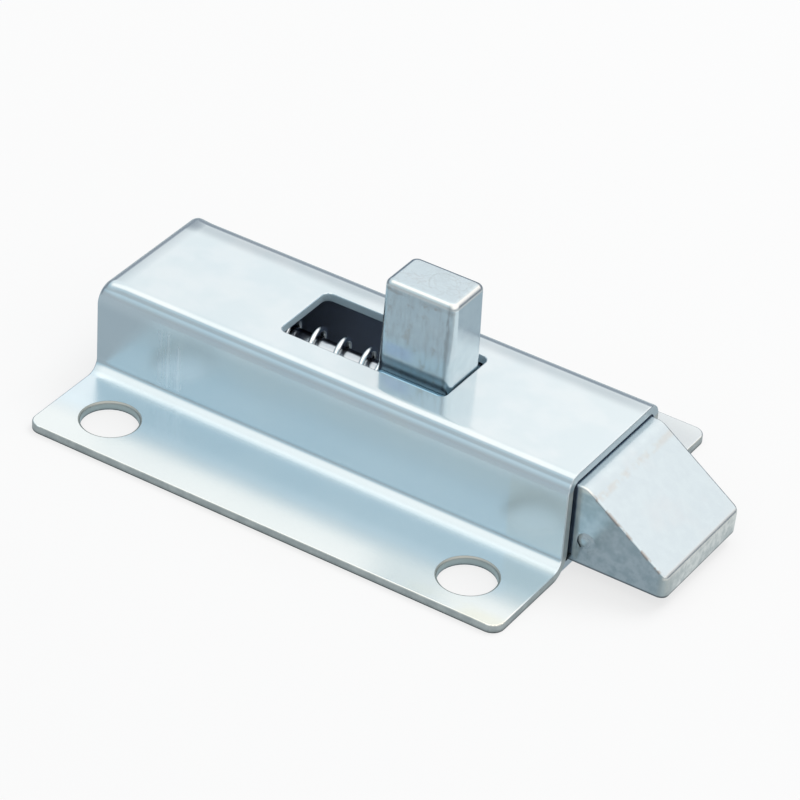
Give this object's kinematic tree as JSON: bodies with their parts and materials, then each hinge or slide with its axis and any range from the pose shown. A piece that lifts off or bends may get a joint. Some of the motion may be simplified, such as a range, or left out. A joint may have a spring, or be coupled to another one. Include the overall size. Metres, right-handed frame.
{
  "type": "sliding bolt latch",
  "caption": "Spring-loaded sliding bolt latch: wedge-nosed bolt with a square thumb knob in a folded steel hat-section housing that screws to a flat face.",
  "frame": {"origin": "centre of the four fixing holes, on the mounting plane under the flanges", "axes": "+X along the bolt towards its nose, +Y across the housing to the left of the nose, +Z out of the mounting plane towards the knob"},
  "size_m": [0.0954, 0.0588, 0.0304],
  "materials": {
    "zinc_plated_sheet": "bright blue-white zinc plating on smooth rolled steel, mirror-like but soft",
    "plated_zinc_casting": "plated zinc die casting, satin and slightly mottled, stained along its edges",
    "spring_wire": "bright plated round wire",
    "back_sheet": "zinc-plated steel sheet, satin"
  },
  "bodies": {
    "housing": {"housing": "zinc_plated_sheet", "back_plate": "back_sheet", "spring": "spring_wire"},
    "bolt": {"bolt": "plated_zinc_casting"}
  },
  "joints": [
    {"name": "bolt_slide", "type": "slide", "parent": "housing", "child": "bolt", "axis": [-1, 0, 0], "range_m": [0, 0.0152], "stiffness_N_per_m": 1000, "springref_m": -0.006, "deforming": ["spring"]}
  ]
}
